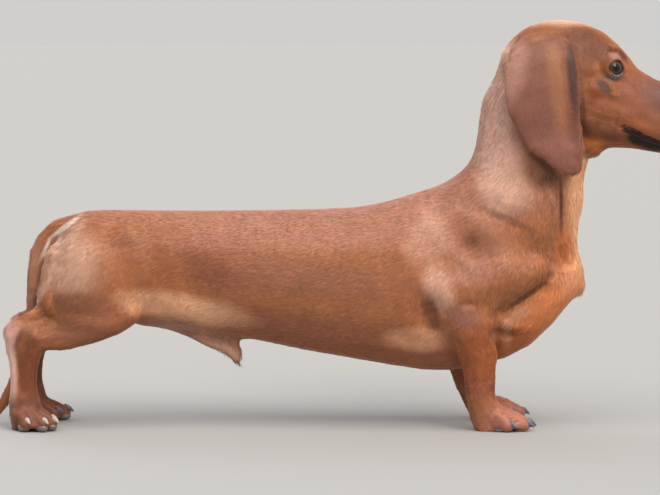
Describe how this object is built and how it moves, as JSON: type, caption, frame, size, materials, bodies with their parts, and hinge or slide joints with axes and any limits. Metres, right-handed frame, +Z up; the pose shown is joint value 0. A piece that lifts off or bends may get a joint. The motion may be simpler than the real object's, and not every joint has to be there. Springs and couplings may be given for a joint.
{
  "type": "dachshund",
  "caption": "Life-size still model of a smooth-haired red dachshund standing square with head raised and tail hanging.",
  "frame": {"origin": "on the floor, under the middle of the whole length from tail tip to nose tip", "axes": "+X from tail to nose, +Y to the dog's left, +Z up"},
  "size_m": [0.6366, 0.1411, 0.3463],
  "materials": {
    "coat_red": "short glossy red hair",
    "coat_leg": "short darker red hair",
    "coat_ear": "very short soft brown hair",
    "nose_leather": "moist black pebbled leather",
    "claw": "horn, satin",
    "eye": "wet, mirror-smooth"
  },
  "bodies": {
    "root": {"eye_right": "eye", "ear_right": "coat_ear", "dewclaw_right": "claw", "eye_left": "eye", "ear_left": "coat_ear", "dewclaw_left": "claw", "claw_fore_right_1": "claw", "claw_fore_right_2": "claw", "claw_fore_right_3": "claw", "claw_fore_right_4": "claw", "claw_fore_left_1": "claw", "claw_fore_left_2": "claw", "claw_fore_left_3": "claw", "claw_fore_left_4": "claw", "claw_hind_right_1": "claw", "claw_hind_right_2": "claw", "claw_hind_right_3": "claw", "claw_hind_right_4": "claw", "claw_hind_left_1": "claw", "claw_hind_left_2": "claw", "claw_hind_left_3": "claw", "claw_hind_left_4": "claw", "nose": "nose_leather", "lower_jaw": "coat_red", "head": "coat_red", "tail_root": "coat_red", "tail_middle": "coat_red", "tail_tip": "coat_red", "forepaw_right": "coat_leg", "forearm_right": "coat_leg", "upper_arm_right": "coat_red", "hindpaw_right": "coat_leg", "rear_pastern_right": "coat_leg", "lower_thigh_right": "coat_red", "thigh_right": "coat_red", "forepaw_left": "coat_leg", "forearm_left": "coat_leg", "upper_arm_left": "coat_red", "hindpaw_left": "coat_leg", "rear_pastern_left": "coat_leg", "lower_thigh_left": "coat_red", "thigh_left": "coat_red", "neck": "coat_red", "chest": "coat_red", "belly": "coat_red", "rump": "coat_red"}
  },
  "joints": []
}
